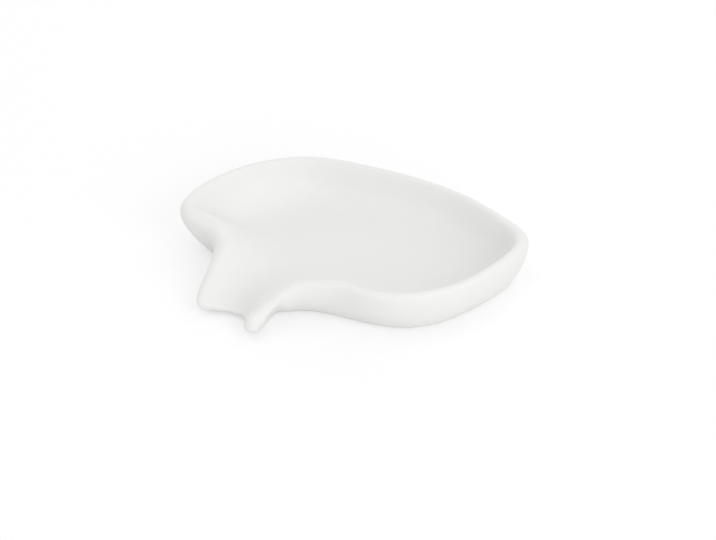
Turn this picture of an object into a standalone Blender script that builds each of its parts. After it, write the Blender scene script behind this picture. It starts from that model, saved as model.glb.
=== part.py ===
"""Draining soap dish: one moulding of soft silicone.

A leaf-shaped bowl with a rounded rim stands on a narrow foot. Its floor slopes
to a low open spout, whose right lip ends in a rounded finger. X runs along the
leaf, from the spout's side to the tip, and Z is up. The origin is on the
surface that the foot stands on, under the middle of the dish.
"""
import math

import bpy
import numpy as np

# Overall sizes, in metres
LENGTH = 0.1345
WIDTH = 0.1070
RIM_HEIGHT = 0.0207

# Rim, inner wall and floor
RIM_RADIUS = 0.0020
BOWL_FILLET = 0.0100
FLOOR_AT_DRAIN = 0.0041
FLOOR_RISE = 0.0031
FLOOR_THICKNESS = 0.0036

# Drain: the lowest place of the floor, beside the finger, with a shallow dip
DRAIN = (-0.374, -0.280)
DRAIN_DIP = 0.0028
DRAIN_WIDTH = 0.0080

# Spout: the low left lip and the finger on its right. Leans are in degrees.
LIP_HEIGHT = 0.0075
LIP_FILLET = 0.0110
LIP_LEAN = 65
MOUTH_EDGE_RADIUS = 0.0006
FINGER_HEIGHT = 0.0094
FINGER_RADIUS = 0.0035
FINGER_FILLET = 0.0048
FINGER_LEAN = 10
FINGER_AIM = math.radians(237)
SPOUT_SHELL = 0.0022
THIN_SHARE = 0.7
SPOUT_BLEND = 0.0008
SHELL_RUN = 0.0040

# Softening of the creases between neighbouring walls
SOFT_START = 0.0020
SOFT_SPREAD = 0.0070
SOFT_SHARE = 0.8
SOFT_PLACES = 6
SOFT_RINGS = (0.5, 1.0)
OWN_WEIGHT = 2

# Outer wall, the foot and the recess inside it
WALL_DROP = 0.0075
FOOT_INSET = 0.0065
FOOT_WIDTH = 0.0052
FOOT_ROUNDING = 0.0018
RECESS_ROUNDING = 0.0010

# Neck: where the finger meets the front, the outer wall slants in below the rim
NECK = (-0.304, -0.352)
NECK_WIDTH = 0.0050
NECK_SLANT = 0.85

# Keel: the line along the floor's middle where the cross-sections meet, as
# shares of LENGTH and WIDTH from the middle, and the half width left open
KEEL = ((-0.235, -0.065), (0.235, -0.140))
KEEL_HALF_WIDTH = 0.0050

# Outline of the dish seen from above. Each row: the place on the outer edge in
# shares of LENGTH and WIDTH from the middle, the share of the rim's full height
# (1 round the bowl, 0 at a lip's end), how many times RIM_RADIUS the rim is
# rounded, how many times BOWL_FILLET the wall's foot is rounded, how far the
# wall leans from upright in degrees, how many times FOOT_INSET the foot stands
# back, and the place on the floor that its cross-section runs to. From the tip
# over the back to the left lip:
BACK_ROWS = (
    (0.500, -0.217, 1.00, 1.75, 1.00, 16, 0.45, 0.370, -0.196),
    (0.473, -0.112, 1.00, 1.30, 1.00, 16, 0.65, 0.351, -0.121),
    (0.370, 0.095, 1.00, 1.00, 1.00, 16, 1.10, 0.273, 0.000),
    (0.234, 0.265, 1.00, 1.00, 1.00, 16, 1.10, 0.162, 0.136),
    (0.089, 0.395, 1.00, 1.00, 1.00, 16, 1.10, 0.032, 0.238),
    (-0.052, 0.485, 1.00, 1.00, 1.10, 16, 1.00, -0.076, 0.308),
    (-0.148, 0.500, 1.00, 1.00, 1.20, 16, 1.00, -0.151, 0.322),
    (-0.248, 0.485, 1.00, 1.00, 1.30, 18, 1.00, -0.225, 0.308),
    (-0.374, 0.420, 1.00, 1.05, 1.40, 24, 1.10, -0.299, 0.262),
    (-0.467, 0.323, 1.00, 1.25, 1.40, 38, 1.40, -0.348, 0.192),
    (-0.500, 0.226, 1.00, 1.60, 1.30, 46, 1.90, -0.362, 0.131),
    (-0.473, 0.170, 0.95, 2.00, 1.30, 52, 2.20, -0.362, 0.089),
    (-0.432, 0.114, 0.83, 2.20, 1.30, 54, 2.20, -0.359, 0.047),
    (-0.421, 0.047, 0.64, 2.00, 1.20, 55, 1.80, -0.359, 0.005),
    (-0.445, -0.034, 0.42, 1.60, 1.10, 58, 1.60, -0.366, -0.042),
    (-0.477, -0.106, 0.18, 1.30, 1.00, 62, 1.50, -0.374, -0.084),
    (-0.497, -0.164, 0.04, 1.10, 1.00, 63, 1.70, -0.381, -0.117),
    (-0.500, -0.189, 0.00, 0.90, 1.00, 65, 1.90, -0.381, -0.136),
)
# The spout's open edge, left to right: place, foot, place on the floor
MOUTH_ROWS = (
    (-0.496, -0.208, 2.00, -0.378, -0.146),
    (-0.481, -0.215, 2.00, -0.371, -0.157),
    (-0.430, -0.224, 1.65, -0.354, -0.178),
    (-0.400, -0.241, 1.50, -0.344, -0.189),
    (-0.376, -0.276, 1.35, -0.334, -0.200),
)
# Round the finger's end: turn from its aim in degrees, foot, place on the floor
FINGER_END = (-0.357, -0.359)
FINGER_ROWS = (
    (-90, 1.90, -0.323, -0.212),
    (-45, 2.20, -0.316, -0.219),
    (0, 2.35, -0.307, -0.222),
    (45, 2.20, -0.298, -0.225),
    (90, 1.95, -0.289, -0.226),
)
# From the finger over the front to the tip, with the columns of the back's rows
FRONT_ROWS = (
    (-0.311, -0.357, 0.28, 1.75, 1.00, 56, 1.85, -0.270, -0.220),
    (-0.265, -0.343, 0.67, 1.55, 1.20, 54, 1.65, -0.236, -0.206),
    (-0.217, -0.337, 0.88, 1.35, 1.30, 44, 1.40, -0.195, -0.201),
    (-0.165, -0.350, 0.94, 1.15, 1.30, 31, 1.30, -0.147, -0.206),
    (-0.099, -0.384, 1.00, 1.05, 1.20, 20, 1.05, -0.091, -0.229),
    (-0.047, -0.434, 1.00, 1.00, 1.10, 17, 1.15, -0.039, -0.262),
    (0.012, -0.475, 1.00, 1.00, 1.00, 16, 1.10, 0.020, -0.299),
    (0.089, -0.498, 1.00, 1.00, 1.00, 16, 0.85, 0.087, -0.322),
    (0.172, -0.495, 1.00, 1.00, 1.00, 16, 0.85, 0.154, -0.322),
    (0.260, -0.465, 1.00, 1.00, 1.00, 16, 0.90, 0.221, -0.308),
    (0.357, -0.399, 1.00, 1.00, 1.00, 16, 0.82, 0.292, -0.276),
    (0.450, -0.310, 1.00, 1.05, 1.00, 16, 0.65, 0.348, -0.243),
)

# Fineness of the mesh
STEPS = 4
CREST_STEPS = 24
NEAREST_GAP = 0.00001
NEAREST_POWER = 6
RIM_TURNS = 5
WALL_RINGS = 6
BOWL_RINGS = (0.05, 0.11, 0.18, 0.26, 0.36, 0.47, 0.59, 0.72, 0.86, 1.0)
FLOOR_RINGS = 2
RECESS_RINGS = 3
EASING = 11


def clear_scene():
    for item in list(bpy.data.objects):
        bpy.data.objects.remove(item, do_unlink=True)


def at(share_x, share_y):
    return np.array((share_x * LENGTH, share_y * WIDTH))


def unit(vectors):
    return vectors / np.linalg.norm(vectors, axis=1)[:, None]


def inward(points):
    """Unit normals into a closed outline that runs anticlockwise."""
    along_edge = np.roll(points, -1, axis=0) - np.roll(points, 1, axis=0)
    return unit(np.column_stack((-along_edge[:, 1], along_edge[:, 0])))


def hermite(rows, slopes, spans, steps):
    """Samples of a closed curve that has the given slope at each row."""
    s = (np.arange(steps) / steps)[None, :, None]
    span = spans[:, None, None]
    following = np.roll(rows, -1, axis=0)[:, None]
    next_slopes = np.roll(slopes, -1, axis=0)[:, None]
    curve = (2 * s**3 - 3 * s**2 + 1) * rows[:, None]
    curve = curve + (s**3 - 2 * s**2 + s) * span * slopes[:, None]
    curve = curve + (3 * s**2 - 2 * s**3) * following
    curve = curve + (s**3 - s**2) * span * next_slopes
    return curve.reshape(-1, rows.shape[1])


def smooth_slopes(rows, spans):
    """Slopes that make the curve through the rows a cubic spline."""
    count = len(rows)
    before = np.roll(spans, 1)
    ahead = (np.roll(rows, -1, axis=0) - rows) / spans[:, None]
    behind = np.roll(ahead, 1, axis=0)
    system = np.zeros((count, count))
    for i in range(count):
        system[i, i - 1] += spans[i]
        system[i, i] += 2 * (spans[i] + before[i])
        system[i, (i + 1) % count] += before[i]
    wanted = 3 * (before[:, None] * ahead + spans[:, None] * behind)
    return np.linalg.solve(system, wanted)


def level_slopes(rows, spans):
    """Slopes that keep the curve between its rows, with no overshoot."""
    ahead = (np.roll(rows, -1, axis=0) - rows) / spans[:, None]
    behind = np.roll(ahead, 1, axis=0)
    product = ahead * behind
    safe = np.where(product > 0, ahead + behind, 1.0)
    return np.where(product > 0, 2 * product / safe, 0.0)


def rim_row(row, lip_height):
    x, y, share, rounding, fillet, lean, foot, floor_x, floor_y = row
    crest = lip_height + (RIM_HEIGHT - lip_height) * share
    wall = (crest, RIM_RADIUS * rounding, BOWL_FILLET * fillet, math.radians(lean), FOOT_INSET * foot)
    return (*at(x, y), *at(floor_x, floor_y), *wall)


def edge_rows():
    """Per row: place on the edge, place on the floor, crest height and radius, fillet, lean, foot inset."""
    rows = [rim_row(row, LIP_HEIGHT) for row in BACK_ROWS]
    for x, y, foot, floor_x, floor_y in MOUTH_ROWS:
        wall = (LIP_HEIGHT, MOUTH_EDGE_RADIUS, LIP_FILLET, math.radians(LIP_LEAN), FOOT_INSET * foot)
        rows.append((*at(x, y), *at(floor_x, floor_y), *wall))
    for turn, foot, floor_x, floor_y in FINGER_ROWS:
        aim = FINGER_AIM + math.radians(turn)
        x, y = at(*FINGER_END) + FINGER_RADIUS * np.array((math.cos(aim), math.sin(aim)))
        wall = (FINGER_HEIGHT, FINGER_RADIUS, FINGER_FILLET, math.radians(FINGER_LEAN), FOOT_INSET * foot)
        rows.append((x, y, *at(floor_x, floor_y), *wall))
    return np.array(rows + [rim_row(row, FINGER_HEIGHT) for row in FRONT_ROWS])


def sample(steps):
    """Places on the outer edge and on the floor, and their values, at this many steps a row."""
    rows = edge_rows()
    spans = np.linalg.norm(np.roll(rows[:, :2], -1, axis=0) - rows[:, :2], axis=1)
    places = hermite(rows[:, :4], smooth_slopes(rows[:, :4], spans), spans, steps)
    values = hermite(rows[:, 4:], level_slopes(rows[:, 4:], spans), spans, steps)
    return places[:, :2], places[:, 2:], values


def crest_line():
    """The rim's highest line without the open mouth: places, and their height, radius, fillet and lean."""
    places, _, values = sample(CREST_STEPS)
    first = (len(BACK_ROWS) - 1) * CREST_STEPS + 1
    last = (len(BACK_ROWS) + len(MOUTH_ROWS) + len(FINGER_ROWS) - 1) * CREST_STEPS
    keep = np.r_[0:first, last : len(places)]
    return (places + values[:, 1:2] * inward(places))[keep], values[keep, :4]


def floor_height(places):
    """The floor rises evenly from the drain, and dips a little more close to it."""
    away = np.linalg.norm(places - at(*DRAIN), axis=1)
    dip = DRAIN_DIP * np.exp(-((away / DRAIN_WIDTH) ** 2))
    return FLOOR_AT_DRAIN + FLOOR_RISE * away / LENGTH - dip


def wall_drop(away, full, crest_radius, fillet, lean):
    """Drop below the crest at a distance inside it: a round crest, a leaning wall and a fillet."""
    both = crest_radius + fillet
    turn = np.arccos(np.clip(1 - full / both, np.sin(lean), 1.0))
    straight = np.maximum(full - both * (1 - np.cos(turn)), 0.0) / np.tan(turn)
    run = both * np.sin(turn) + straight
    away = np.minimum(away, run)
    left = np.minimum(run - away, fillet * np.sin(turn))
    near = np.minimum(away, crest_radius * np.sin(turn))
    round_drop = crest_radius - np.sqrt(crest_radius**2 - near**2)
    fillet_rise = fillet - np.sqrt(fillet**2 - left**2)
    middle = round_drop + (away - near) * np.tan(turn)
    return np.where(left < fillet * np.sin(turn), full - fillet_rise, middle)


def sharp_height(places, crests, crest_values):
    """Height of the inside at places seen from above, and their distance from the crest.

    The wall's values are a mean over the whole crest, in which the nearest part counts most.
    """
    gaps = np.linalg.norm(places[:, None] - crests[None], axis=2) + NEAREST_GAP
    away = gaps.min(axis=1)
    weights = (away[:, None] / gaps) ** NEAREST_POWER
    crest, radius, fillet, lean = (weights @ crest_values / weights.sum(axis=1)[:, None]).T
    full = crest - floor_height(places)
    return crest - wall_drop(away, full, radius, fillet, lean), away


def inside_height(places, crests, crest_values):
    """Height of the inside, with creases softened by a mean of the heights round each place."""
    height, away = sharp_height(places, crests, crest_values)
    spread = np.clip((away - SOFT_START) * SOFT_SHARE, 0, SOFT_SPREAD)
    total = OWN_WEIGHT * height
    for i in range(SOFT_PLACES):
        around = 2 * math.pi * i / SOFT_PLACES
        step = spread[:, None] * np.array((math.cos(around), math.sin(around)))
        for share in SOFT_RINGS:
            total += sharp_height(places + share * step, crests, crest_values)[0]
    return total / (OWN_WEIGHT + len(SOFT_RINGS) * SOFT_PLACES)


def keel_loop(places):
    """For each place the nearest place on a slim loop round the keel."""
    start, end = (at(*row) for row in KEEL)
    line = end - start
    share = np.clip((places - start) @ line / (line @ line), 0.0, 1.0)
    nearest = start + share[:, None] * line
    return nearest + KEEL_HALF_WIDTH * unit(places - nearest)


def along(path, distance):
    """Points at a distance along paths of three points each."""
    first, middle, last = path
    near = np.linalg.norm(middle - first, axis=1)
    far = np.linalg.norm(last - middle, axis=1)
    share = np.minimum(distance / near, 1.0)[:, None]
    beyond = np.maximum((distance - near) / far, 0.0)[:, None]
    return first + (middle - first) * share + (last - middle) * beyond


def eased(spots):
    """A closed line of places with its kinks evened out."""
    for _ in range(EASING):
        spots = (np.roll(spots, 1, axis=0) + 2 * spots + np.roll(spots, -1, axis=0)) / 4
    return spots


def soft_lower(first, second):
    """The lower of two heights, with the corner between them rounded."""
    share = np.clip(0.5 + (second - first) / (2 * SPOUT_BLEND), 0.0, 1.0)
    return second + (first - second) * share - SPOUT_BLEND * share * (1 - share)


def raised(spots, heights):
    return np.column_stack((spots, np.broadcast_to(heights, len(spots))))


def inner_rings(path, radius, edge_height, inside):
    """Rings from the outer edge over the crest, down the inner wall and across the floor to the keel."""
    places, floor, keel = path
    normal = inward(places)
    rings = [raised(places, edge_height)]
    reach = np.minimum(radius, RIM_RADIUS)
    for i in range(1, RIM_TURNS + 1):
        offset = reach * (1 - math.cos(math.pi / 2 * i / RIM_TURNS))
        spots = places + offset[:, None] * normal
        rounded = edge_height + np.sqrt(radius**2 - (radius - offset) ** 2)
        rings.append(raised(spots, np.minimum(inside(spots), rounded)))
    rim = places + reach[:, None] * normal
    for share in BOWL_RINGS:
        spots = rim + (floor - rim) * share
        rings.append(raised(spots, inside(spots)))
    for i in range(1, FLOOR_RINGS + 1):
        spots = floor + (keel - floor) * i / FLOOR_RINGS
        rings.append(raised(spots, inside(spots)))
    return rings


def outer_rings(path, inset, edge_height, inside):
    """Rings from the outer edge down the outer wall, under the foot and across the recess to the keel."""
    places, _, keel = path
    foot = eased(along(path, inset))
    rings = []
    reach = foot - places
    bend = edge_height - soft_lower(edge_height, WALL_DROP)
    slant = NECK_SLANT * np.exp(-((np.linalg.norm(places - at(*NECK), axis=1) / NECK_WIDTH) ** 2))
    stop = 1 - FOOT_ROUNDING / (2 * np.linalg.norm(raised((1 - slant)[:, None] * reach, bend), axis=1))
    for i in range(1, WALL_RINGS + 1):
        t = stop * i / WALL_RINGS
        heights = (1 - t) ** 2 * edge_height + 2 * t * (1 - t) * bend
        share = t**2 + 2 * t * (1 - t) * slant
        points = raised(places + share[:, None] * reach, heights)
        from_edge = np.minimum(np.linalg.norm(points[:, :2] - places, axis=1) / SHELL_RUN, 1.0)
        inner = inside(points[:, :2])
        shell = soft_lower(heights, inner - np.minimum(SPOUT_SHELL, THIN_SHARE * inner))
        points[:, 2] += (shell - heights) * from_edge**2 * (3 - 2 * from_edge)
        rings.append(points)
    ground = raised(eased(along(path, inset + FOOT_ROUNDING)), 0.0)
    rings.append(0.25 * rings[-1] + 0.5 * raised(foot, 0.0) + 0.25 * ground)
    rings.append(ground)
    rings.append(raised(eased(along(path, inset + FOOT_WIDTH)), 0.0))
    start = eased(along(path, inset + FOOT_WIDTH + RECESS_ROUNDING))
    for i in range(RECESS_RINGS + 1):
        spots = start + (keel - start) * i / RECESS_RINGS
        rings.append(raised(spots, inside(spots) - FLOOR_THICKNESS))
    return rings


def build_rings():
    """Rings of points, from the keel on top, over the rim and the foot, to the keel below."""
    places, floor, values = sample(STEPS)
    crests, crest_values = crest_line()
    path = (places, floor, keel_loop(floor))
    radius = values[:, 1]

    def inside(spots):
        return inside_height(spots, crests, crest_values)

    edge_height = inside(places + radius[:, None] * inward(places)) - radius
    top = inner_rings(path, radius, edge_height, inside)
    return top[::-1] + outer_rings(path, values[:, 4], edge_height, inside)


def silicone():
    """Soft matte silicone in warm white."""
    material = bpy.data.materials.new("matte_silicone")
    material.use_nodes = True
    shader = material.node_tree.nodes["Principled BSDF"]
    shader.inputs["Base Color"].default_value = (0.86, 0.85, 0.83, 1.0)
    shader.inputs["Roughness"].default_value = 0.55
    shader.inputs["Metallic"].default_value = 0.0
    return material


def close_keel(ring, first, upwards):
    """Faces across the slim loop round the keel, from the tip's end to the spout's end."""
    mouth = (len(BACK_ROWS) + 1) * STEPS
    back = list(range(mouth + 1))
    front = [0] + list(range(len(ring) - 1, mouth - 1, -1))
    faces = []
    i, j = 0, 0
    while i < len(back) - 1 or j < len(front) - 1:
        back_x = ring[back[i + 1], 0] if i < len(back) - 1 else -LENGTH
        front_x = ring[front[j + 1], 0] if j < len(front) - 1 else -LENGTH
        if back_x > front_x:
            face = (back[i], back[i + 1], front[j])
            i += 1
        else:
            face = (back[i], front[j + 1], front[j])
            j += 1
        if len(set(face)) == 3:
            face = tuple(first + corner for corner in face)
            faces.append(face if upwards else face[::-1])
    return faces


def make_dish():
    rings = build_rings()
    count = len(rings[0])
    points = np.vstack(rings)
    faces = []
    for ring in range(len(rings) - 1):
        for i in range(count):
            j = (i + 1) % count
            a, b = ring * count, (ring + 1) * count
            faces.append((a + i, b + i, b + j, a + j))
    faces += close_keel(rings[0], 0, True)
    faces += close_keel(rings[-1], (len(rings) - 1) * count, False)
    mesh = bpy.data.meshes.new("dish")
    mesh.from_pydata([tuple(map(float, point)) for point in points], [], faces)
    mesh.validate()
    dish = bpy.data.objects.new("dish", mesh)
    bpy.context.scene.collection.objects.link(dish)
    mesh.materials.append(silicone())
    mesh.shade_smooth()
    return dish


clear_scene()
make_dish()
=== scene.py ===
# %% [markdown]
# # A draining soap dish
#
# This lesson models and lights a draining soap dish: one moulding of soft white silicone, shaped like a
# leaf, 134.5 mm long, with a rounded rim, a floor that slopes gently to one side, and a low open spout
# beside a rounded finger. The measured model of the dish comes first. It gives the place, the size and the
# body that the detailed piece rides on.

# %% Load the measured model
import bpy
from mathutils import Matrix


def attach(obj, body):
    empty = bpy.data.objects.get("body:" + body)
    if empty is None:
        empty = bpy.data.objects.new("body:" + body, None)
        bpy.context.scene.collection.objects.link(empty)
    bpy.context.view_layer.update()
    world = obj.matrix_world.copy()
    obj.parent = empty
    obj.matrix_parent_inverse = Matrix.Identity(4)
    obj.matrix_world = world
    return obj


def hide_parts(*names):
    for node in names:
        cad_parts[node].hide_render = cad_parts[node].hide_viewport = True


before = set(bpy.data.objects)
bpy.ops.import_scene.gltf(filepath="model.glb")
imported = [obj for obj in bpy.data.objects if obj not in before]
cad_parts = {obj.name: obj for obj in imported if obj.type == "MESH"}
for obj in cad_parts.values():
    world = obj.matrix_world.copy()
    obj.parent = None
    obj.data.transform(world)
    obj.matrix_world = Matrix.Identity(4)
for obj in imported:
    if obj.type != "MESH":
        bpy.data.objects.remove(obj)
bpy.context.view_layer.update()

# %% The modules and units that the lesson uses
import math

import bmesh
import bpy
import numpy as np
from mathutils import Vector

MM = 0.001


# %% [markdown]
# ## Camera
#
# The dish is seen from the front through a long lens, 37 degrees above the table and about 70 cm away. Its
# long side is turned 12 degrees from the picture's horizontal. The long lens keeps the near and the far rim
# almost the same size. The camera could be placed by hand, but a few named angles are easier to correct.

# %% Camera
VIEW_TURN = math.radians(12)
VIEW_RISE = math.radians(37)
VIEW_DISTANCE = 692.5 * MM
VIEW_TARGET = Vector((0.85, -5.6, 0.0)) * MM
# The lens and the sensor are in millimetres, as Blender's camera has them
LENS_LENGTH = 85
SENSOR_WIDTH = 36
NEAREST_SEEN = 0.01
FARTHEST_SEEN = 20

heading = Vector(
    (
        math.sin(VIEW_TURN) * math.cos(VIEW_RISE),
        math.cos(VIEW_TURN) * math.cos(VIEW_RISE),
        -math.sin(VIEW_RISE),
    )
)
camera_data = bpy.data.cameras.new("camera")
camera_data.lens = LENS_LENGTH
camera_data.sensor_width = SENSOR_WIDTH
camera_data.clip_start = NEAREST_SEEN
camera_data.clip_end = FARTHEST_SEEN
camera = bpy.data.objects.new("camera", camera_data)
bpy.context.scene.collection.objects.link(camera)
camera.location = VIEW_TARGET - VIEW_DISTANCE * heading
camera.rotation_euler = heading.to_track_quat("-Z", "Y").to_euler()
bpy.context.scene.camera = camera
bpy.context.scene.view_settings.view_transform = "Standard"
print("Camera at", [round(value / MM, 1) for value in camera.location], "mm")

# %% [markdown]
# ## Colours and nodes
#
# Colours are written as they look on a screen, as hex values, but Blender's shaders want linear light. One
# function turns one into the other, with the numbers of the sRGB standard. A second small function adds a
# node with its settings and its links in one line, and a third one starts a material.


# %% Helpers for materials
def linear(hex_colour):
    """A screen colour such as "#EFEDE9" as linear red, green, blue and alpha."""
    parts = [int(hex_colour[i : i + 2], 16) / 255 for i in (1, 3, 5)]
    return (*(p / 12.92 if p <= 0.04045 else ((p + 0.055) / 1.055) ** 2.4 for p in parts), 1.0)


def add_node(tree, kind, settings=None, inputs=None):
    """Adds a node. Inputs are numbers, colours or the output sockets of other nodes."""
    node = tree.nodes.new(kind)
    for name, value in (settings or {}).items():
        setattr(node, name, value)
    for name, value in (inputs or {}).items():
        if isinstance(value, bpy.types.NodeSocket):
            tree.links.new(value, node.inputs[name])
        else:
            node.inputs[name].default_value = value
    return node


def empty_material(name):
    """A new material with no nodes yet, and its node tree."""
    material = bpy.data.materials.new(name)
    material.use_nodes = True
    tree = material.node_tree
    tree.nodes.clear()
    return material, tree


WHITE = linear("#FFFFFF")
print("White in linear light:", WHITE)

# %% [markdown]
# ## Table and studio
#
# The dish stands on a seamless white sweep that fades to almost pure white, with only a faint soft shadow
# round the dish. The sweep is a large matt plane. A plain sheet of paper would show too dark a shadow, so
# what the camera sees is about half the paper's own glow and half the real light on it. What sends light
# back to the dish is plain matt paper with no glow at all.

# %% The white table
TABLE_SIZE = 6.0
TABLE_GAP = 0.05 * MM
TABLE_GLOW = 0.455
SEEN_PAPER = "#C6C6C6"
LIGHTING_PAPER = "#F6F6F6"
# The paper's grain: bumps to the metre, their detail, strength and height
PAPER_GRAIN = 900
PAPER_DETAIL = 2
PAPER_BUMP = 0.05
PAPER_RELIEF = 0.1 * MM

bpy.ops.object.select_all(action="DESELECT")
bpy.ops.mesh.primitive_plane_add(size=TABLE_SIZE, location=(0, 0, -TABLE_GAP))
table = bpy.context.object
table.name = "table"
paper, tree = empty_material("matt_white_paper")
light_path = add_node(tree, "ShaderNodeLightPath")
position = add_node(tree, "ShaderNodeTexCoord").outputs["Object"]
grain = add_node(
    tree,
    "ShaderNodeTexNoise",
    inputs={"Vector": position, "Scale": PAPER_GRAIN, "Detail": PAPER_DETAIL},
)
bump = add_node(
    tree,
    "ShaderNodeBump",
    inputs={"Height": grain.outputs["Fac"], "Strength": PAPER_BUMP, "Distance": PAPER_RELIEF},
)
lighting = add_node(
    tree,
    "ShaderNodeBsdfDiffuse",
    inputs={"Color": linear(LIGHTING_PAPER), "Normal": bump.outputs["Normal"]},
)
shaded = add_node(tree, "ShaderNodeBsdfDiffuse", inputs={"Color": linear(SEEN_PAPER)})
glow = add_node(tree, "ShaderNodeEmission", inputs={"Color": WHITE, "Strength": TABLE_GLOW})
seen = add_node(tree, "ShaderNodeAddShader", inputs={0: shaded.outputs["BSDF"], 1: glow.outputs["Emission"]})
mixed = add_node(
    tree,
    "ShaderNodeMixShader",
    inputs={
        "Fac": light_path.outputs["Is Camera Ray"],
        1: lighting.outputs["BSDF"],
        2: seen.outputs["Shader"],
    },
)
add_node(tree, "ShaderNodeOutputMaterial", inputs={"Surface": mixed.outputs["Shader"]})
table.data.materials.append(paper)
print("Table", TABLE_SIZE, "m wide, in", paper.name)

# %% [markdown]
# ## Light
#
# The shading is very even: the floor of the bowl, the wall behind it and the wall in front differ by a few
# per cent only. That is a white studio with soft light from all round. The white surroundings give about
# two thirds of it, and six large soft boxes give the rest. The key box, to the right and in front, makes
# the walls on the right a touch brighter than the spout's left side. A low fill comes from the camera's
# side, and four weaker boxes behind and above shape the rim. Their powers could be turned up and down by
# eye. Here the dish was rendered with each lamp alone, and the mix nearest to the real shading was kept.

# %% The white surroundings
SURROUND_LIGHT = 0.64

world = bpy.data.worlds.new("white_studio")
world.use_nodes = True
bpy.context.scene.world = world
tree = world.node_tree
tree.nodes.clear()
rays = add_node(tree, "ShaderNodeLightPath")
direct = add_node(
    tree,
    "ShaderNodeMath",
    {"operation": "MAXIMUM"},
    {0: rays.outputs["Is Camera Ray"], 1: rays.outputs["Is Transmission Ray"]},
)
shown = add_node(
    tree,
    "ShaderNodeMath",
    {"operation": "MAXIMUM"},
    {0: direct.outputs[0], 1: rays.outputs["Is Glossy Ray"]},
)
soft = add_node(tree, "ShaderNodeBackground", inputs={"Color": WHITE, "Strength": SURROUND_LIGHT})
full = add_node(tree, "ShaderNodeBackground", inputs={"Color": WHITE, "Strength": 1.0})
mixed = add_node(
    tree,
    "ShaderNodeMixShader",
    inputs={"Fac": shown.outputs[0], 1: soft.outputs["Background"], 2: full.outputs["Background"]},
)
add_node(tree, "ShaderNodeOutputWorld", inputs={"Surface": mixed.outputs["Shader"]})
print("Surroundings at", SURROUND_LIGHT)

# %% Six soft boxes
BOX_DISTANCE = 1.2
BOX_SIDE = 0.8
# Each row: name, turn round the dish from the camera's side towards its right and angle above the table,
# both in degrees, and power in watts
SOFT_BOXES = (
    ("key_box", 45, 30, 3.35),
    ("front_fill_box", 0, 10, 2.4),
    ("right_back_box", 135, 50, 1.3),
    ("back_box", 180, 10, 2.2),
    ("left_back_box", 225, 10, 1.55),
    ("left_top_box", 270, 70, 1.7),
)
# The camera's side is -Y, which is -90 degrees from +X
CAMERA_SIDE = -90

for name, turn, rise, power in SOFT_BOXES:
    lamp = bpy.data.lights.new(name, "AREA")
    lamp.shape = "SQUARE"
    lamp.size = BOX_SIDE
    lamp.energy = power
    box = bpy.data.objects.new(name, lamp)
    bpy.context.scene.collection.objects.link(box)
    around = math.radians(turn + CAMERA_SIDE) - VIEW_TURN
    above = math.radians(rise)
    flat = BOX_DISTANCE * math.cos(above)
    place = Vector((flat * math.cos(around), flat * math.sin(around), BOX_DISTANCE * math.sin(above)))
    box.location = place
    box.rotation_euler = (-place).to_track_quat("-Z", "Y").to_euler()
    print(name, "at", [round(value, 2) for value in place], "m,", power, "W")

# %% [markdown]
# ## The dish: how the real one is made, and how to model it
#
# The real dish is pressed in one shot from silicone rubber, so it has no seams and no second piece. Three
# things make its look: a rim that rolls over like a bead, thin round the bowl and broad at the spout's left
# shoulder; walls that run down to the floor in a wide fillet; and a spout whose low left lip and rounded
# finger keep the same soft edge.
#
# Sculpting would give uneven walls, and a box with a subdivision modifier would need many guesses. The way
# here is the one that a pattern maker uses: draw the outline from above, say at each place how high and how
# round the rim is, and let one cross-section travel round that outline. In Blender this is a ring of points
# that is extruded again and again.

# %% Sizes of the dish
LENGTH = 134.5 * MM
WIDTH = 107.0 * MM
RIM_HEIGHT = 20.7 * MM

# Rim, inner wall and floor
RIM_RADIUS = 2.0 * MM
BOWL_FILLET = 10.0 * MM
FLOOR_AT_DRAIN = 4.1 * MM
FLOOR_RISE = 3.1 * MM
FLOOR_THICKNESS = 3.6 * MM

# Drain: the lowest place of the floor, in shares of the length and the width, with a shallow dip
DRAIN = (-0.374, -0.280)
DRAIN_DIP = 2.8 * MM
DRAIN_WIDTH = 8.0 * MM

# Spout: the low left lip, and the finger on its right. Leans are in degrees
LIP_HEIGHT = 7.5 * MM
LIP_FILLET = 11.0 * MM
LIP_LEAN = 65
MOUTH_EDGE_RADIUS = 0.6 * MM
FINGER_HEIGHT = 9.4 * MM
FINGER_RADIUS = 3.5 * MM
FINGER_FILLET = 4.8 * MM
FINGER_LEAN = 10
FINGER_AIM = math.radians(237)

# Shell under the spout: its thickness, the largest share of the inside's height that it takes, and how
# softly and how far from the edge the outer wall gives way to it
SPOUT_SHELL = 2.2 * MM
THIN_SHARE = 0.7
SPOUT_BLEND = 0.8 * MM
SHELL_RUN = 4.0 * MM

# Outer wall, the foot and the recess inside it
WALL_DROP = 7.5 * MM
FOOT_INSET = 6.5 * MM
FOOT_WIDTH = 5.2 * MM
FOOT_ROUNDING = 1.8 * MM
RECESS_ROUNDING = 1.0 * MM

# Neck: where the finger meets the front, the outer wall slants in below the rim
NECK = (-0.304, -0.352)
NECK_WIDTH = 5.0 * MM
NECK_SLANT = 0.85

# Keel: the line along the floor's middle where the cross-sections meet
KEEL = ((-0.235, -0.065), (0.235, -0.140))
KEEL_HALF_WIDTH = 5.0 * MM
print("The dish is", LENGTH, "x", WIDTH, "x", RIM_HEIGHT, "m")

# %% [markdown]
# ### The outline
#
# Each row is one place on the outline, seen from above. A row of the back or the front holds:
#
# - the place on the outer edge, in shares of the length and the width from the middle
# - the share of the full rim height: 1 round the bowl, 0 at the end of a lip
# - how many times the rim radius the edge is rounded
# - how many times the bowl's fillet the foot of the inner wall is rounded
# - how far the inner wall leans from upright, in degrees
# - how many times the foot's inset the foot stands back
# - the place on the floor that its cross-section runs to
#
# The outline starts at the leaf's tip and runs over the back to the spout's left lip, along the open mouth,
# round the finger and along the front back to the tip.

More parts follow.
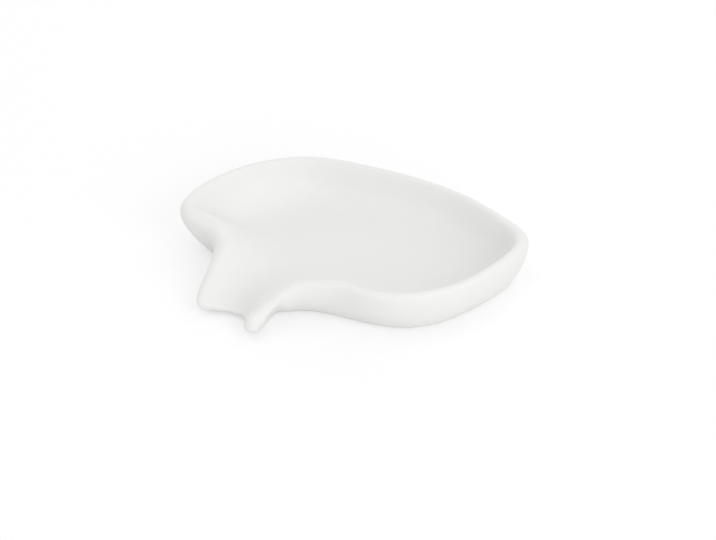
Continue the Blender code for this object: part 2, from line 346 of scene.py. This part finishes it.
# %% The outline's rows
BACK_ROWS = (
    (0.500, -0.217, 1.00, 1.75, 1.00, 16, 0.45, 0.370, -0.196),
    (0.473, -0.112, 1.00, 1.30, 1.00, 16, 0.65, 0.351, -0.121),
    (0.370, 0.095, 1.00, 1.00, 1.00, 16, 1.10, 0.273, 0.000),
    (0.234, 0.265, 1.00, 1.00, 1.00, 16, 1.10, 0.162, 0.136),
    (0.089, 0.395, 1.00, 1.00, 1.00, 16, 1.10, 0.032, 0.238),
    (-0.052, 0.485, 1.00, 1.00, 1.10, 16, 1.00, -0.076, 0.308),
    (-0.148, 0.500, 1.00, 1.00, 1.20, 16, 1.00, -0.151, 0.322),
    (-0.248, 0.485, 1.00, 1.00, 1.30, 18, 1.00, -0.225, 0.308),
    (-0.374, 0.420, 1.00, 1.05, 1.40, 24, 1.10, -0.299, 0.262),
    (-0.467, 0.323, 1.00, 1.25, 1.40, 38, 1.40, -0.348, 0.192),
    (-0.500, 0.226, 1.00, 1.60, 1.30, 46, 1.90, -0.362, 0.131),
    (-0.473, 0.170, 0.95, 2.00, 1.30, 52, 2.20, -0.362, 0.089),
    (-0.432, 0.114, 0.83, 2.20, 1.30, 54, 2.20, -0.359, 0.047),
    (-0.421, 0.047, 0.64, 2.00, 1.20, 55, 1.80, -0.359, 0.005),
    (-0.445, -0.034, 0.42, 1.60, 1.10, 58, 1.60, -0.366, -0.042),
    (-0.477, -0.106, 0.18, 1.30, 1.00, 62, 1.50, -0.374, -0.084),
    (-0.497, -0.164, 0.04, 1.10, 1.00, 63, 1.70, -0.381, -0.117),
    (-0.500, -0.189, 0.00, 0.90, 1.00, 65, 1.90, -0.381, -0.136),
)
# The spout's open edge, left to right: place, foot, place on the floor
MOUTH_ROWS = (
    (-0.496, -0.208, 2.00, -0.378, -0.146),
    (-0.481, -0.215, 2.00, -0.371, -0.157),
    (-0.430, -0.224, 1.65, -0.354, -0.178),
    (-0.400, -0.241, 1.50, -0.344, -0.189),
    (-0.376, -0.276, 1.35, -0.334, -0.200),
)
# Round the finger's end: turn from its aim in degrees, foot, place on the floor
FINGER_END = (-0.357, -0.359)
FINGER_ROWS = (
    (-90, 1.90, -0.323, -0.212),
    (-45, 2.20, -0.316, -0.219),
    (0, 2.35, -0.307, -0.222),
    (45, 2.20, -0.298, -0.225),
    (90, 1.95, -0.289, -0.226),
)
FRONT_ROWS = (
    (-0.311, -0.357, 0.28, 1.75, 1.00, 56, 1.85, -0.270, -0.220),
    (-0.265, -0.343, 0.67, 1.55, 1.20, 54, 1.65, -0.236, -0.206),
    (-0.217, -0.337, 0.88, 1.35, 1.30, 44, 1.40, -0.195, -0.201),
    (-0.165, -0.350, 0.94, 1.15, 1.30, 31, 1.30, -0.147, -0.206),
    (-0.099, -0.384, 1.00, 1.05, 1.20, 20, 1.05, -0.091, -0.229),
    (-0.047, -0.434, 1.00, 1.00, 1.10, 17, 1.15, -0.039, -0.262),
    (0.012, -0.475, 1.00, 1.00, 1.00, 16, 1.10, 0.020, -0.299),
    (0.089, -0.498, 1.00, 1.00, 1.00, 16, 0.85, 0.087, -0.322),
    (0.172, -0.495, 1.00, 1.00, 1.00, 16, 0.85, 0.154, -0.322),
    (0.260, -0.465, 1.00, 1.00, 1.00, 16, 0.90, 0.221, -0.308),
    (0.357, -0.399, 1.00, 1.00, 1.00, 16, 0.82, 0.292, -0.276),
    (0.450, -0.310, 1.00, 1.05, 1.00, 16, 0.65, 0.348, -0.243),
)
print("The outline has", len(BACK_ROWS) + len(MOUTH_ROWS) + len(FINGER_ROWS) + len(FRONT_ROWS), "rows")


# %% The rows in metres
def at(share_x, share_y):
    """A place seen from above, from its shares of the length and the width."""
    return np.array((share_x * LENGTH, share_y * WIDTH))


def rim_row(row, lip_height):
    """A row of the back or the front in metres, where the rim runs down to a lip of this height."""
    x, y, share, rounding, fillet, lean, foot, floor_x, floor_y = row
    crest = lip_height + (RIM_HEIGHT - lip_height) * share
    wall = (crest, RIM_RADIUS * rounding, BOWL_FILLET * fillet, math.radians(lean), FOOT_INSET * foot)
    return (*at(x, y), *at(floor_x, floor_y), *wall)


def edge_rows():
    """Per row: place on the edge, place on the floor, crest height and radius, fillet, lean, foot inset."""
    rows = [rim_row(row, LIP_HEIGHT) for row in BACK_ROWS]
    for x, y, foot, floor_x, floor_y in MOUTH_ROWS:
        wall = (LIP_HEIGHT, MOUTH_EDGE_RADIUS, LIP_FILLET, math.radians(LIP_LEAN), FOOT_INSET * foot)
        rows.append((*at(x, y), *at(floor_x, floor_y), *wall))
    for turn, foot, floor_x, floor_y in FINGER_ROWS:
        aim = FINGER_AIM + math.radians(turn)
        x, y = at(*FINGER_END) + FINGER_RADIUS * np.array((math.cos(aim), math.sin(aim)))
        wall = (FINGER_HEIGHT, FINGER_RADIUS, FINGER_FILLET, math.radians(FINGER_LEAN), FOOT_INSET * foot)
        rows.append((x, y, *at(floor_x, floor_y), *wall))
    return np.array(rows + [rim_row(row, FINGER_HEIGHT) for row in FRONT_ROWS])


print("First row in metres:", edge_rows()[0].round(4))

# %% [markdown]
# ### A smooth line through the rows
#
# The places are joined by a cubic spline, whose bends have no sudden change, as a bent strip of steel
# would. Heights and radii are joined by a curve that never swings past its rows, so the rim can't dip below
# a lip or bulge above it.

# %% The two curves
# Cross-sections from one row to the next
STEPS = 6


def hermite(rows, slopes, spans, steps):
    """Samples of a closed curve that has the given slope at each row."""
    s = (np.arange(steps) / steps)[None, :, None]
    span = spans[:, None, None]
    following = np.roll(rows, -1, axis=0)[:, None]
    next_slopes = np.roll(slopes, -1, axis=0)[:, None]
    curve = (2 * s**3 - 3 * s**2 + 1) * rows[:, None]
    curve = curve + (s**3 - 2 * s**2 + s) * span * slopes[:, None]
    curve = curve + (3 * s**2 - 2 * s**3) * following
    curve = curve + (s**3 - s**2) * span * next_slopes
    return curve.reshape(-1, rows.shape[1])


def smooth_slopes(rows, spans):
    """Slopes that make the curve through the rows a cubic spline."""
    count = len(rows)
    before = np.roll(spans, 1)
    ahead = (np.roll(rows, -1, axis=0) - rows) / spans[:, None]
    behind = np.roll(ahead, 1, axis=0)
    system = np.zeros((count, count))
    for i in range(count):
        system[i, i - 1] += spans[i]
        system[i, i] += 2 * (spans[i] + before[i])
        system[i, (i + 1) % count] += before[i]
    return np.linalg.solve(system, 3 * (before[:, None] * ahead + spans[:, None] * behind))


def level_slopes(rows, spans):
    """Slopes that keep the curve between its rows, with no overshoot."""
    ahead = (np.roll(rows, -1, axis=0) - rows) / spans[:, None]
    behind = np.roll(ahead, 1, axis=0)
    product = ahead * behind
    safe = np.where(product > 0, ahead + behind, 1.0)
    return np.where(product > 0, 2 * product / safe, 0.0)


def sample(steps):
    """Places on the outer edge and on the floor, and their values, at this many steps a row."""
    rows = edge_rows()
    spans = np.linalg.norm(np.roll(rows[:, :2], -1, axis=0) - rows[:, :2], axis=1)
    places = hermite(rows[:, :4], smooth_slopes(rows[:, :4], spans), spans, steps)
    values = hermite(rows[:, 4:], level_slopes(rows[:, 4:], spans), spans, steps)
    return places[:, :2], places[:, 2:], values


places, floor, values = sample(STEPS)
print("The outer edge is", round(np.linalg.norm(np.diff(places, axis=0), axis=1).sum() / MM), "mm long")

# %% [markdown]
# ### The cross-section
#
# Inside, every section is the same chain of curves: a round crest, a straight wall that leans, a fillet and
# the floor. So the height at any place seen from above follows from how far inside the rim's highest line
# it lies. The height of the crest, its radius, the fillet and the lean change along the outline. Each place
# takes a mean of them, in which the nearest part of the rim counts by far the most.
#
# That alone leaves a crease wherever two walls meet, and pressed rubber has none. So each height is mixed
# with the heights on two small circles round it, which grow with the distance from the rim.

# %% Heights on the inside
# The mean over the crest: its places to a row, the gap that keeps a weight finite, and how fast weights fall
CREST_STEPS = 24
NEAREST_GAP = 0.01 * MM
NEAREST_POWER = 6

# Softening: where it starts, how wide the circles get and how fast they grow, the places on each circle,
# the sizes of the two circles, and how many times the place itself counts
SOFT_START = 2.0 * MM
SOFT_SPREAD = 7.0 * MM
SOFT_SHARE = 0.8
SOFT_PLACES = 6
SOFT_RINGS = (0.5, 1.0)
OWN_WEIGHT = 2


def unit(vectors):
    """Vectors of the same directions and of length 1."""
    return vectors / np.linalg.norm(vectors, axis=1)[:, None]


def inward(points):
    """Unit normals into a closed outline that runs anticlockwise."""
    along_edge = np.roll(points, -1, axis=0) - np.roll(points, 1, axis=0)
    return unit(np.column_stack((-along_edge[:, 1], along_edge[:, 0])))


def crest_line():
    """The rim's highest line without the open mouth: places, and their height, radius, fillet and lean."""
    places, _, values = sample(CREST_STEPS)
    first = (len(BACK_ROWS) - 1) * CREST_STEPS + 1
    last = (len(BACK_ROWS) + len(MOUTH_ROWS) + len(FINGER_ROWS) - 1) * CREST_STEPS
    keep = np.r_[0:first, last : len(places)]
    return (places + values[:, 1:2] * inward(places))[keep], values[keep, :4]


def floor_height(places):
    """The floor rises evenly from the drain beside the finger, and dips a little more close to it."""
    away = np.linalg.norm(places - at(*DRAIN), axis=1)
    dip = DRAIN_DIP * np.exp(-((away / DRAIN_WIDTH) ** 2))
    return FLOOR_AT_DRAIN + FLOOR_RISE * away / LENGTH - dip


def wall_drop(away, full, crest_radius, fillet, lean):
    """Drop below the crest at a distance inside it: a round crest, a leaning wall and a fillet."""
    both = crest_radius + fillet
    turn = np.arccos(np.clip(1 - full / both, np.sin(lean), 1.0))
    straight = np.maximum(full - both * (1 - np.cos(turn)), 0.0) / np.tan(turn)
    run = both * np.sin(turn) + straight
    away = np.minimum(away, run)
    left = np.minimum(run - away, fillet * np.sin(turn))
    near = np.minimum(away, crest_radius * np.sin(turn))
    round_drop = crest_radius - np.sqrt(crest_radius**2 - near**2)
    fillet_rise = fillet - np.sqrt(fillet**2 - left**2)
    middle = round_drop + (away - near) * np.tan(turn)
    return np.where(left < fillet * np.sin(turn), full - fillet_rise, middle)


crests, crest_values = crest_line()


def sharp_height(places):
    """Height of the inside at places seen from above, and their distance from the crest."""
    gaps = np.linalg.norm(places[:, None] - crests[None], axis=2) + NEAREST_GAP
    away = gaps.min(axis=1)
    weights = (away[:, None] / gaps) ** NEAREST_POWER
    crest, radius, fillet, lean = (weights @ crest_values / weights.sum(axis=1)[:, None]).T
    full = crest - floor_height(places)
    return crest - wall_drop(away, full, radius, fillet, lean), away


def inside_height(places):
    """Height of the inside, with creases softened by the heights on two circles round each place."""
    height, away = sharp_height(places)
    spread = np.clip((away - SOFT_START) * SOFT_SHARE, 0, SOFT_SPREAD)
    total = OWN_WEIGHT * height
    for i in range(SOFT_PLACES):
        around = 2 * math.pi * i / SOFT_PLACES
        direction = np.array((math.cos(around), math.sin(around)))
        for share in SOFT_RINGS:
            total += sharp_height(places + share * spread[:, None] * direction)[0]
    return total / (OWN_WEIGHT + len(SOFT_RINGS) * SOFT_PLACES)


middle_height = float(inside_height(np.zeros((1, 2)))[0])
print("The middle of the floor is", round(middle_height / MM, 2), "mm above the table")

# %% [markdown]
# ### The underside
#
# The outer wall runs from the rounded edge down to a foot that stands back, broadly under the spout and
# little round the tip, so the rim seems to float above the table. At the neck, where the finger meets the
# front, the wall slants in right below the edge, which keeps the finger slim. Under the spout it gives way
# to the inside, so that a shell about 2 mm thick is left. The foot is a flat band, and inside it the
# underside is hollow, so the floor keeps an even thickness.

# %% Helpers for the underside
# How many times each place of a line is averaged with its two neighbours
EASING = 24


def keel_loop(places):
    """For each place the nearest place on a slim loop round the keel, the line along the floor's middle."""
    start, end = (at(*row) for row in KEEL)
    line = end - start
    share = np.clip((places - start) @ line / (line @ line), 0.0, 1.0)
    nearest = start + share[:, None] * line
    return nearest + KEEL_HALF_WIDTH * unit(places - nearest)


def along(path, distance):
    """Points at a distance along paths of three points each."""
    first, middle, last = path
    near = np.linalg.norm(middle - first, axis=1)
    far = np.linalg.norm(last - middle, axis=1)
    share = np.minimum(distance / near, 1.0)[:, None]
    beyond = np.maximum((distance - near) / far, 0.0)[:, None]
    return first + (middle - first) * share + (last - middle) * beyond


def eased(spots):
    """A closed line of places with its kinks evened out."""
    for _ in range(EASING):
        spots = (np.roll(spots, 1, axis=0) + 2 * spots + np.roll(spots, -1, axis=0)) / 4
    return spots


def soft_lower(first, second):
    """The lower of two heights, with the corner between them rounded."""
    share = np.clip(0.5 + (second - first) / (2 * SPOUT_BLEND), 0.0, 1.0)
    return second + (first - second) * share - SPOUT_BLEND * share * (1 - share)


def raised(spots, heights):
    """Places seen from above with their heights, as points in space."""
    return np.column_stack((spots, np.broadcast_to(heights, len(spots))))


keel = keel_loop(floor)
print("The keel's loop spans", round(np.ptp(keel[:, 0]) / MM, 1), "mm")

# %% [markdown]
# ### All the rings
#
# A ring has one point for every cross-section. The rings start at the keel on the upper side, and run over
# the floor, the wall and the crest to the outer edge, then down outside, round the foot and across the
# recess to the keel below. They lie closer together where the surface bends more.

# %% All the rings of the dish
# How many rings each part of the section has, or where they lie in shares of the way across it
RIM_TURNS = 7
BOWL_RINGS = (0.04, 0.08, 0.13, 0.19, 0.25, 0.32, 0.39, 0.47, 0.56, 0.66, 0.77, 0.88, 1.0)
FLOOR_RINGS = 4
WALL_RINGS = 11
FOOT_TURNS = (0.25, 0.5, 0.75)
RECESS_RINGS = 6


def inner_rings(path, radius, edge_height):
    """Rings from the outer edge over the crest, down the inner wall and across the floor to the keel."""
    places, floor, keel = path
    normal = inward(places)
    rings = [raised(places, edge_height)]
    reach = np.minimum(radius, RIM_RADIUS)
    for i in range(1, RIM_TURNS + 1):
        offset = reach * (1 - math.cos(math.pi / 2 * i / RIM_TURNS))
        spots = places + offset[:, None] * normal
        rounded = edge_height + np.sqrt(radius**2 - (radius - offset) ** 2)
        rings.append(raised(spots, np.minimum(inside_height(spots), rounded)))
    rim = places + reach[:, None] * normal
    for share in BOWL_RINGS:
        spots = rim + (floor - rim) * share
        rings.append(raised(spots, inside_height(spots)))
    for i in range(1, FLOOR_RINGS + 1):
        spots = floor + (keel - floor) * i / FLOOR_RINGS
        rings.append(raised(spots, inside_height(spots)))
    return rings


def wall_rings(path, inset, edge_height):
    """Rings down the outer wall, almost to the foot. Under the spout they keep clear of the inside."""
    places = path[0]
    reach = eased(along(path, inset)) - places
    bend = edge_height - soft_lower(edge_height, WALL_DROP)
    slant = NECK_SLANT * np.exp(-((np.linalg.norm(places - at(*NECK), axis=1) / NECK_WIDTH) ** 2))
    stop = 1 - FOOT_ROUNDING / (2 * np.linalg.norm(raised((1 - slant)[:, None] * reach, bend), axis=1))
    rings = []
    for i in range(1, WALL_RINGS + 1):
        t = stop * i / WALL_RINGS
        share = t**2 + 2 * t * (1 - t) * slant
        heights = (1 - t) ** 2 * edge_height + 2 * t * (1 - t) * bend
        points = raised(places + share[:, None] * reach, heights)
        inside = inside_height(points[:, :2])
        shell = soft_lower(heights, inside - np.minimum(SPOUT_SHELL, THIN_SHARE * inside))
        from_edge = np.minimum(np.linalg.norm(points[:, :2] - places, axis=1) / SHELL_RUN, 1.0)
        points[:, 2] += (shell - heights) * from_edge**2 * (3 - 2 * from_edge)
        rings.append(points)
    return rings


def foot_rings(path, inset, wall_end):
    """Rings round the foot's outer corner, over its flat band and across the recess to the keel."""
    keel = path[2]
    corner = raised(eased(along(path, inset)), 0.0)
    ground = raised(eased(along(path, inset + FOOT_ROUNDING)), 0.0)
    rings = []
    for share in FOOT_TURNS:
        rings.append((1 - share) ** 2 * wall_end + 2 * share * (1 - share) * corner + share**2 * ground)
    rings.append(ground)
    rings.append(raised(eased(along(path, inset + FOOT_WIDTH)), 0.0))
    start = eased(along(path, inset + FOOT_WIDTH + RECESS_ROUNDING))
    for i in range(RECESS_RINGS + 1):
        spots = start + (keel - start) * i / RECESS_RINGS
        rings.append(raised(spots, inside_height(spots) - FLOOR_THICKNESS))
    return rings


path = (places, floor, keel)
radius = values[:, 1]
inset = values[:, 4]
edge_height = inside_height(places + radius[:, None] * inward(places)) - radius
upper = inner_rings(path, radius, edge_height)
wall = wall_rings(path, inset, edge_height)
rings = upper[::-1] + wall + foot_rings(path, inset, wall[-1])
print(len(rings), "rings of", len(places), "points")

# %% [markdown]
# ### Extrude ring after ring
#
# A circle with one point for each cross-section is the start. Every point keeps the number of its section
# in an attribute, which an extrusion hands on to the new points. So each new ring can be moved to its place
# without counting on the order of Blender's points. The first ring is the slim loop in the middle of the
# floor, and the last is the same loop below.

# %% Grow the dish from a circle
bpy.ops.object.select_all(action="DESELECT")
bpy.ops.mesh.primitive_circle_add(vertices=len(places), radius=KEEL_HALF_WIDTH, fill_type="NOTHING")
dish = bpy.context.object
dish.name = "silicone_dish"
sections = dish.data.attributes.new("section", "INT", "POINT")
sections.data.foreach_set("value", np.arange(len(places), dtype=np.int32))


def move_selected_to(ring):
    """Moves each selected point to the place of its own cross-section in the ring."""
    mesh = bmesh.from_edit_mesh(dish.data)
    section = mesh.verts.layers.int["section"]
    for vertex in mesh.verts:
        if vertex.select:
            vertex.co = ring[vertex[section]]
    bmesh.update_edit_mesh(dish.data)


bpy.ops.object.mode_set(mode="EDIT")
bpy.ops.mesh.select_mode(type="EDGE")
bpy.ops.mesh.select_all(action="SELECT")
move_selected_to(rings[0])
for ring in rings[1:]:
    bpy.ops.mesh.extrude_edges_move(TRANSFORM_OT_translate={"value": (0, 0, 0)})
    move_selected_to(ring)
bpy.ops.object.mode_set(mode="OBJECT")
print("The open shell has", len(dish.data.vertices), "points")

# %% [markdown]
# ### Close the two slim loops
#
# The floor is almost flat between the two long sides of each slim loop, so they are bridged with a fan of
# narrow quads: the loop is selected without the edges at its two ends, which leaves two chains of equal
# length.


# %% Bridge the loops
def bridge_loops():
    """Closes the open loop on the upper side, then the one below, each with one bridge."""
    half = len(places) // 2
    for upper_side in (True, False):
        mesh = bmesh.from_edit_mesh(dish.data)
        section = mesh.verts.layers.int["section"]
        bpy.ops.mesh.select_all(action="DESELECT")
        chosen = []
        for edge in mesh.edges:
            height = edge.verts[0].co.z
            sides = {vertex[section] < half for vertex in edge.verts}
            if edge.is_boundary and (height > FLOOR_THICKNESS) == upper_side and len(sides) == 1:
                edge.select_set(True)
                chosen.append(height)
        bmesh.update_edit_mesh(dish.data)
        bpy.ops.mesh.bridge_edge_loops()
        print("Bridged", len(chosen), "edges at about", round(sum(chosen) / len(chosen) / MM, 1), "mm")


bpy.ops.object.mode_set(mode="EDIT")
bpy.ops.mesh.select_mode(type="EDGE")
bridge_loops()
bpy.ops.mesh.select_all(action="SELECT")
bpy.ops.mesh.normals_make_consistent(inside=False)
bpy.ops.object.mode_set(mode="OBJECT")

# %% [markdown]
# ### Round the facets off
#
# The rings give a mesh whose flat faces would show on a soft rim. One level of subdivision is enough to
# round them, because the rings already lie close where the surface bends. Then the mesh is measured: no
# edge may be open, and the volume tells how much rubber the dish takes.

# %% Smooth the surface
SMOOTHING_LEVELS = 1
CUBIC_CM = 1e-6

smoother = dish.modifiers.new("smoother", "SUBSURF")
smoother.levels = SMOOTHING_LEVELS
smoother.render_levels = SMOOTHING_LEVELS
bpy.ops.object.modifier_apply(modifier="smoother")
dish.data.attributes.remove(dish.data.attributes["section"])
bpy.ops.object.shade_smooth()
mesh = bmesh.new()
mesh.from_mesh(dish.data)
open_count = sum(1 for edge in mesh.edges if not edge.is_manifold)
volume = mesh.calc_volume() / CUBIC_CM
print(len(mesh.faces), "faces, open edges:", open_count, "volume", round(volume, 1), "cm3")
mesh.free()

# %% [markdown]
# ## Silicone
#
# The dish is platinum-cured silicone rubber, pressed in a steel mould whose faces were sand-blasted. Three
# things tell the eye so. The surface is matt, with a wide weak gloss and no sharp highlight, because the
# blasted mould leaves a fine grain. The rubber is cloudy rather than opaque: light enters, scatters for a
# millimetre or two and softens every shadow on it. And the white is a little warm, with faint clouds in it.
# The grain is about 0.1 mm on the real dish, too fine for this view, so it is drawn at 0.5 mm with a height
# of a hundredth of a millimetre.

# %% Silicone material
SILICONE_WHITE = "#EFEFEE"
SILICONE_WARM = "#EDEDEB"
CLOUD_SIZE = 25 * MM
CLOUD_DETAIL = 2
CLOUD_ROUGHNESS = 0.5

# The grain that the blasted mould leaves, and how far it varies the gloss
GRAIN_SIZE = 0.5 * MM
GRAIN_DETAIL = 3
GRAIN_ROUGHNESS = 0.6
GRAIN_BUMP = 0.6
GRAIN_HEIGHT = 0.01 * MM
GRAIN_RANGE = (0.3, 0.7)
MATT_RANGE = (0.52, 0.64)

# The rubber itself: how it bends and mirrors light, how much of it goes in, and how far each of red, green
# and blue then scatters, in shares of the depth
SILICONE_IOR = 1.41
MIRROR_LEVEL = 0.4
CLOUDINESS = 0.08
SCATTER_COLOURS = (1.0, 0.92, 0.85)
SCATTER_DEPTH = 1.5 * MM

silicone, tree = empty_material("moulded_silicone")
position = add_node(tree, "ShaderNodeTexCoord").outputs["Object"]
clouds = add_node(
    tree,
    "ShaderNodeTexNoise",
    inputs={
        "Vector": position,
        "Scale": 1 / CLOUD_SIZE,
        "Detail": CLOUD_DETAIL,
        "Roughness": CLOUD_ROUGHNESS,
    },
)
tint = add_node(
    tree,
    "ShaderNodeMix",
    {"data_type": "RGBA"},
    {"Factor": clouds.outputs["Fac"], 6: linear(SILICONE_WHITE), 7: linear(SILICONE_WARM)},
)
blasted = add_node(
    tree,
    "ShaderNodeTexNoise",
    inputs={
        "Vector": position,
        "Scale": 1 / GRAIN_SIZE,
        "Detail": GRAIN_DETAIL,
        "Roughness": GRAIN_ROUGHNESS,
    },
)
roughness = add_node(
    tree,
    "ShaderNodeMapRange",
    inputs={
        "Value": blasted.outputs["Fac"],
        "From Min": GRAIN_RANGE[0],
        "From Max": GRAIN_RANGE[1],
        "To Min": MATT_RANGE[0],
        "To Max": MATT_RANGE[1],
    },
)
bump = add_node(
    tree,
    "ShaderNodeBump",
    inputs={"Height": blasted.outputs["Fac"], "Strength": GRAIN_BUMP, "Distance": GRAIN_HEIGHT},
)
shader = add_node(
    tree,
    "ShaderNodeBsdfPrincipled",
    inputs={
        "Base Color": tint.outputs[2],
        "Roughness": roughness.outputs["Result"],
        "IOR": SILICONE_IOR,
        "Specular IOR Level": MIRROR_LEVEL,
        "Subsurface Weight": CLOUDINESS,
        "Subsurface Radius": SCATTER_COLOURS,
        "Subsurface Scale": SCATTER_DEPTH,
        "Normal": bump.outputs["Normal"],
    },
)
add_node(tree, "ShaderNodeOutputMaterial", inputs={"Surface": shader.outputs["BSDF"]})
dish.data.materials.append(silicone)
print("Silicone in", SILICONE_WHITE, "with a grain of", GRAIN_SIZE / MM, "mm")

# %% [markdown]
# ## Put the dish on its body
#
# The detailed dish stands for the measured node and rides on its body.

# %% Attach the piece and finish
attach(dish, "root")
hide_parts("dish")
